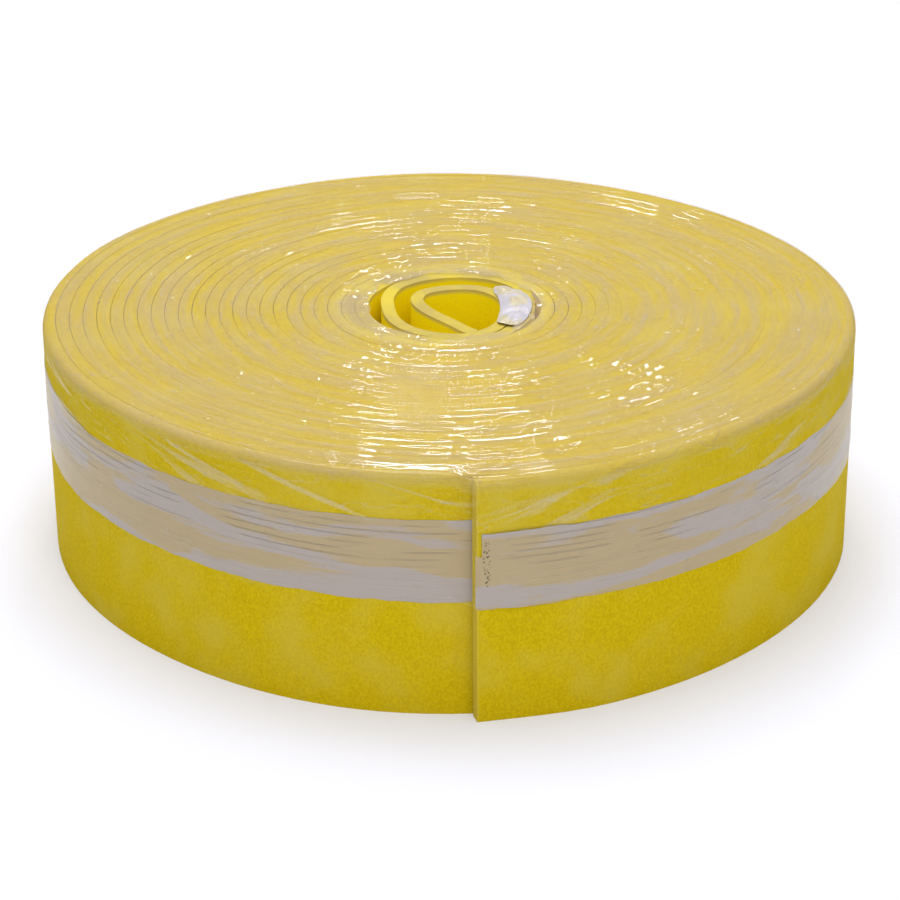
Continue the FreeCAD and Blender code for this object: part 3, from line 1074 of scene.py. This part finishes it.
def skirt_edges(around, turn, skirt):
    """Heights of the skirt's two edges, in a direction and at a share of the last turn.

    Both wander by a millimetre or two, and drop on the right. The upper one also rises along the turn
    and on the left.
    """
    slow = noise.noise(around * 2.2 + Vector((5, 0, 0)))
    quick = noise.noise(around * 14 + Vector((0, 9, 0)))
    fine = noise.noise(around * 45)
    on_right = blend_in(around.x, 0.8, 1.0)
    on_left = blend_in(-around.x, 0.85, 1.0)
    low = skirt.base + (1.6 * slow + 0.9 * quick + 0.5 * fine + 3.0 - 5.0 * on_right) * MM
    high = skirt.base + skirt.width + (1.8 * slow - 1.0 * quick + 0.4 * fine) * MM
    high += (4.0 * turn + 3.0 * on_left - 2.5 * on_right) * MM
    return low, high


def skirt_point(azimuth, share, sizes, skirt):
    """A point of the film skirt, at a share of its width from its lower edge."""
    around = Vector((math.cos(azimuth), math.sin(azimuth), 0.0))
    low, high = skirt_edges(around, turn_share(azimuth, sizes), skirt)
    z = low + (high - low) * share

    # Soft folds and sharper ridges lift the film, but not at its welded edges.
    fold = noise.noise(Vector((around.x * 3, around.y * 3, z * 150)))
    ridge = 1 - abs(2 * noise.noise(Vector((around.x * 4, around.y * 4, z * 260 + 9))))
    lift = skirt.crease * (0.7 * fold + 0.7 * max(ridge, 0) ** 3)
    lift *= blend_in(min(share, 1 - share), 0.0, 0.12)

    # The film keeps to the last turn, and round the free end it follows the cut's slant.
    no_bridge = math.radians(0.01)
    radius = outer_radius(max(azimuth, sizes.free_end), sizes, no_bridge)
    past_end = max(sizes.free_end - azimuth, 0.0) * sizes.radius
    radius -= past_end * sizes.thickness / sizes.end_slant
    radius += SKIRT_AIR + max(lift, 0.0)
    x, y = roll_point(radius, azimuth)
    return (x, y, z), (around.x, around.y, z)


class INSULATION_OT_film_skirt(bpy.types.Operator):
    """Lays the milky film skirt on the strip's outer face"""

    bl_idname = "insulation.film_skirt"
    bl_label = "Lay Film Skirt"

    def execute(self, context):
        sizes = context.scene.strip_sizes
        skirt = context.scene.skirt_sizes
        around, across = 640, 26
        last = sizes.free_end + TURN - sizes.end_slant / sizes.radius
        rows = []
        sweep = []
        for row in range(across + 1):
            share = row / across
            start = skirt.setback if share > skirt.step else -skirt.overlap
            first = sizes.free_end + start / sizes.radius
            pairs = [
                skirt_point(first + (last - first) * at / around, share, sizes, skirt)
                for at in range(around + 1)
            ]
            rows.append([pair[0] for pair in pairs])
            sweep.extend(pair[1] for pair in pairs)
        mesh = grid_mesh("film_skirt_milky", rows, False, [("sweep", sweep)])
        finish = skirt_finish(context.scene.finish_colours)
        made = make_shell("film_skirt_milky", mesh, skirt.thickness, [finish])
        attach(made, "root")
        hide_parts("film_skirt")
        return {"FINISHED"}


class INSULATION_OT_skirt_end(bpy.types.Operator):
    """Folds the skirt's inner end over the innermost turns"""

    bl_idname = "insulation.skirt_end"
    bl_label = "Fold Skirt End"

    def execute(self, context):
        sizes = context.scene.strip_sizes
        top = sizes.width
        # Three lines along the folded film: its edge beside the core, its crest, and its outer edge.
        inner = [(31, 21, 1.2), (35, 11, 1.0), (36.5, -6, 0.9), (35, -22, 0.9), (32, -34, 0.8)]
        crest = [(36, 25, 3), (44, 12, 5), (46, -10, 4.5), (43, -26, 4), (39, -38, 2)]
        outer = [(42, 27, 0.8), (54, 15, 1.6), (57, -6, 1.2), (53, -26, 1.2), (46, -40, 0.8)]
        rows = []
        for line in (inner, crest, outer):
            rows.append([(x * MM, y * MM, top + z * MM) for x, y, z in line])
        mesh = grid_mesh("film_skirt_inner_end_fold", rows, False)
        made = place_object("film_skirt_inner_end_fold", mesh)
        rounder = made.modifiers.new("rounding", "SUBSURF")
        rounder.levels = 4
        rounder.render_levels = 4
        apply_modifiers(made)
        # Dents some 8 mm wide and up to a millimetre deep crumple it.
        for point in made.data.vertices:
            point.co.z += noise.noise(point.co * 120) * 1.2 * MM
        solid = made.modifiers.new("thickness", "SOLIDIFY")
        solid.thickness = context.scene.skirt_sizes.thickness
        apply_modifiers(made)
        clean_mesh(made.data, 60)
        made.data.materials.append(tab_finish(context.scene.finish_colours))
        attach(made, "root")
        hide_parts("film_skirt_inner_end")
        return {"FINISHED"}


def wrap_height(radius, azimuth, sizes, wrap):
    """Height of the stretch wrap over the turns: it rests on their edges and dips between them."""
    share = turn_share(azimuth, sizes)
    turns = (sizes.radius - sizes.thickness / 2 - radius) / sizes.pitch
    nearest = round(turns - share)
    beside = turns - share - nearest
    own = edge_height(share + nearest, sizes)
    other = edge_height(share + nearest + math.copysign(1, beside), sizes)
    level = own + (other - own) * blend_in(abs(beside), 0.25, 0.75)

    # Some places are slack and dip further, and puckers lift the film by up to 0.6 mm.
    around = Vector((math.cos(azimuth), math.sin(azimuth), 0.0))
    slack = 0.55 + 0.9 * noise.noise(around * 5 + Vector((0, 0, radius * 25)))
    dip = wrap.sag * max(slack, 0.1) * (0.5 - 0.5 * math.cos(TURN * beside))
    pucker = noise.noise(Vector((around.x * 16, around.y * 16, radius * 60)))
    stand = wrap.clearance + wrap.sag + 0.3 * MM * (1 + pucker)
    return sizes.width + stand + max(level, own) - dip


def wrap_top_point(azimuth, radius, sizes, wrap):
    """A point of the wrap over the turns' edges. Near the rim it follows the last turn's step."""
    flat_end = sizes.radius - wrap.rim_round
    step = outer_radius(azimuth, sizes, WRAP_BRIDGE) - sizes.radius
    radius += step * blend_in(radius, 0.6 * flat_end, flat_end)
    x, y = roll_point(radius, azimuth)
    z = wrap_height(radius, azimuth, sizes, wrap)
    return (x, y, z), (math.cos(azimuth), math.sin(azimuth), radius)


def wrap_side_point(azimuth, row, rim_rows, side_rows, sizes, wrap):
    """A point of the wrap in one of the rows that turn over the rim and go down the side."""
    around = Vector((math.cos(azimuth), math.sin(azimuth), 0.0))
    outer = outer_radius(azimuth, sizes, WRAP_BRIDGE) + wrap.clearance + SKIRT_ROOM
    top = wrap_height(sizes.radius - wrap.rim_round, azimuth, sizes, wrap)
    if row <= rim_rows:
        lean = 0.5 * math.pi * row / rim_rows
        radius = outer - wrap.rim_round * (1 - math.sin(lean))
        z = top - wrap.rim_round * (1 - math.cos(lean))
    else:
        ragged = noise.fractal(around * 3 + Vector((0, 0, 4)), 0.8, 2.0, 4)
        hem = wrap.hem + wrap.hem_wave * ragged
        radius = outer
        z = top - wrap.rim_round
        z += (hem - z) * (row - rim_rows) / side_rows

    # Below the rim, slack moves the film by up to half a millimetre.
    slack = noise.noise(Vector((around.x * 7, around.y * 7, z * 40 + 3)))
    radius += 0.5 * MM * slack * blend_in(row, 2, rim_rows + 3)
    x, y = roll_point(radius, azimuth)
    return (x, y, z), (around.x, around.y, sizes.radius + top - z)


def wrap_rows(sizes, wrap):
    """Rows of points of the stretch wrap, from the hole's edge over the rim to the hem.

    With them come the points' marks for the finish: their direction, and their way along the film.
    """
    points_around = 344
    hole_rows = 9
    rows_per_turn = 4
    rim_rows = 6
    side_rows = 22
    clear_of_hole = 75 * MM
    flat_end = sizes.radius - wrap.rim_round
    gap = sizes.pitch / rows_per_turn
    even_rows = int((flat_end - clear_of_hole) / gap)
    start = flat_end - even_rows * gap
    angles = [TURN * at / points_around for at in range(points_around)]
    pairs = []
    for row in range(hole_rows):
        for azimuth in angles:
            around = Vector((math.cos(azimuth), math.sin(azimuth), 0.0))
            ragged = noise.fractal(around * 2.2, 0.8, 2.0, 4)
            hole = wrap.hole + ragged * wrap.hole_wave
            radius = hole + (start - hole) * row / hole_rows
            pairs.append(wrap_top_point(azimuth, radius, sizes, wrap))
    for row in range(even_rows):
        for azimuth in angles:
            pairs.append(wrap_top_point(azimuth, start + row * gap, sizes, wrap))
    for row in range(rim_rows + side_rows + 1):
        for azimuth in angles:
            pairs.append(wrap_side_point(azimuth, row, rim_rows, side_rows, sizes, wrap))
    places = [place for place, mark in pairs]
    rows = [places[at : at + points_around] for at in range(0, len(places), points_around)]
    return rows, [mark for place, mark in pairs]


class INSULATION_OT_stretch_wrap(bpy.types.Operator):
    """Stretches the clear film over the roll's top and upper side"""

    bl_idname = "insulation.stretch_wrap"
    bl_label = "Stretch Wrap"

    def execute(self, context):
        sizes = context.scene.strip_sizes
        wrap = context.scene.wrap_sizes
        rows, sweep = wrap_rows(sizes, wrap)
        mesh = grid_mesh("stretch_wrap_film", rows, True, [("sweep", sweep)])
        colours = context.scene.finish_colours
        finishes = [wrap_finish(colours), wrap_back_finish(colours)]
        made = make_shell("stretch_wrap_film", mesh, wrap.thickness, finishes)
        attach(made, "root")
        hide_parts("stretch_wrap")
        return {"FINISHED"}


# ------------------------------------------------------------------ the stage


def stage_finish(name, colours):
    """Matt white studio paper. It shows white where it is fully lit, and keeps the soft shadow."""
    material, tree, output = new_material(name)
    paper = add_node(tree, "ShaderNodeBsdfDiffuse", {"Color": colours.floor})
    seen = add_node(tree, "ShaderNodeBsdfDiffuse", {"Color": colours.floor_seen})
    light = add_node(tree, "ShaderNodeEmission", {"Color": colours.white, "Strength": 0.24})
    both = add_node(tree, "ShaderNodeAddShader", {0: seen.outputs[0], 1: light.outputs[0]})
    ray = add_node(tree, "ShaderNodeLightPath")
    looked = add_node(
        tree,
        "ShaderNodeMath",
        {0: ray.outputs["Is Camera Ray"], 1: ray.outputs["Is Transmission Ray"]},
        operation="MAXIMUM",
    )
    mix = add_node(
        tree,
        "ShaderNodeMixShader",
        {0: looked.outputs[0], 1: paper.outputs[0], 2: both.outputs[0]},
    )
    tree.links.new(mix.outputs[0], output.inputs["Surface"])
    return material


def add_lamp(name, place, target, size, power):
    """A soft rectangular lamp that looks at a target."""
    lamp = bpy.data.lights.new(name, "AREA")
    lamp.shape = "RECTANGLE"
    lamp.size, lamp.size_y = size
    lamp.energy = power
    made = bpy.data.objects.new(name, lamp)
    made.location = place
    made.rotation_euler = (Vector(target) - Vector(place)).to_track_quat("-Z", "Y").to_euler()
    bpy.context.scene.collection.objects.link(made)


def add_camera(studio):
    """The camera, which looks down at the roll's front."""
    camera = bpy.data.cameras.new("camera")
    camera.sensor_width = 36.0
    camera.lens = studio.lens
    made = bpy.data.objects.new("camera", camera)
    turn = Matrix.Rotation(studio.pan, 4, "Z")
    tilt = Matrix.Rotation(math.pi / 2 - studio.tilt, 4, "X")
    lean = Matrix.Rotation(studio.roll, 4, "Z")
    place = Matrix.Translation((studio.sideways, -studio.distance, studio.height))
    made.matrix_world = place @ turn @ tilt @ lean
    bpy.context.scene.collection.objects.link(made)
    bpy.context.scene.camera = made


def light_world(colours):
    """White light from all round, which also shows as an even white background."""
    world = bpy.data.worlds.new("studio")
    world.use_nodes = True
    tree = world.node_tree
    tree.nodes.clear()
    # Less light comes from straight left and right, where a studio has dark walls.
    direction = add_node(tree, "ShaderNodeTexCoord").outputs["Generated"]
    across = add_node(tree, "ShaderNodeSeparateXYZ", {0: direction}).outputs["X"]
    sideways = add_node(tree, "ShaderNodeMath", {0: across}, operation="ABSOLUTE")
    level = add_node(
        tree,
        "ShaderNodeMapRange",
        {"Value": sideways.outputs[0], "From Min": 0.55, "From Max": 0.95,
         "To Min": 0.78, "To Max": 0.35},
        interpolation_type="SMOOTHSTEP",
    )
    around = add_node(
        tree, "ShaderNodeBackground", {"Color": colours.white, "Strength": level.outputs[0]}
    )
    seen = add_node(tree, "ShaderNodeBackground", {"Color": colours.white, "Strength": 1.0})
    ray = add_node(tree, "ShaderNodeLightPath")
    mix = add_node(
        tree,
        "ShaderNodeMixShader",
        {0: ray.outputs["Is Camera Ray"], 1: around.outputs[0], 2: seen.outputs[0]},
    )
    add_node(tree, "ShaderNodeOutputWorld", {"Surface": mix.outputs[0]})
    bpy.context.scene.world = world


class INSULATION_OT_stage(bpy.types.Operator):
    """Sets up the floor, the soft light and the camera"""

    bl_idname = "insulation.stage"
    bl_label = "Set Up Stage"

    def execute(self, context):
        context.scene.view_settings.view_transform = "Standard"
        colours = context.scene.finish_colours
        half = 5.0
        level = roll_low.z
        corners = [(-half, -half, level), (half, -half, level), (half, half, level),
                   (-half, half, level)]
        mesh = bpy.data.meshes.new("floor")
        mesh.from_pydata(corners, [], [(0, 1, 2, 3)])
        mesh.materials.append(stage_finish("studio_paper", colours))
        floor = place_object("floor", mesh)
        target = (0.0, 0.0, 0.1)
        for name, place, size, power in LAMPS:
            add_lamp(name, place, target, size, power)
        add_camera(context.scene.studio_sizes)
        light_world(colours)
        return {"FINISHED"}


class INSULATION_PT_roll(bpy.types.Panel):
    """Lists the roll's sizes, colours and pieces"""

    bl_idname = "INSULATION_PT_roll"
    bl_label = "Insulation Roll"
    bl_space_type = "VIEW_3D"
    bl_region_type = "UI"
    bl_category = "Insulation Roll"

    def draw(self, context):
        for group in GROUPS:
            sizes = getattr(context.scene, group)
            box = self.layout.box()
            box.label(text=sizes.__doc__)
            for name in sizes.__annotations__:
                box.prop(sizes, name)
        for operator in OPERATORS:
            self.layout.operator(operator.bl_idname)


GROUPS = {
    "strip_sizes": StripSizes,
    "skirt_sizes": SkirtSizes,
    "wrap_sizes": WrapSizes,
    "finish_colours": FinishColours,
    "studio_sizes": StudioSizes,
}
OPERATORS = (
    INSULATION_OT_foam_strip,
    INSULATION_OT_film_skirt,
    INSULATION_OT_skirt_end,
    INSULATION_OT_stretch_wrap,
    INSULATION_OT_stage,
)


def register():
    """Registers the classes and hangs the property groups on the scene."""
    for kind in (*GROUPS.values(), *OPERATORS, INSULATION_PT_roll):
        bpy.utils.register_class(kind)
    for name, kind in GROUPS.items():
        setattr(bpy.types.Scene, name, bpy.props.PointerProperty(type=kind))


def unregister():
    """Takes away what register added."""
    for name in GROUPS:
        delattr(bpy.types.Scene, name)
    for kind in (INSULATION_PT_roll, *reversed(OPERATORS), *reversed(GROUPS.values())):
        bpy.utils.unregister_class(kind)


def main():
    """Makes every piece and the stage."""
    register()
    bpy.ops.insulation.foam_strip()
    bpy.ops.insulation.film_skirt()
    bpy.ops.insulation.skirt_end()
    bpy.ops.insulation.stretch_wrap()
    bpy.ops.insulation.stage()


if __name__ == "__main__":
    main()
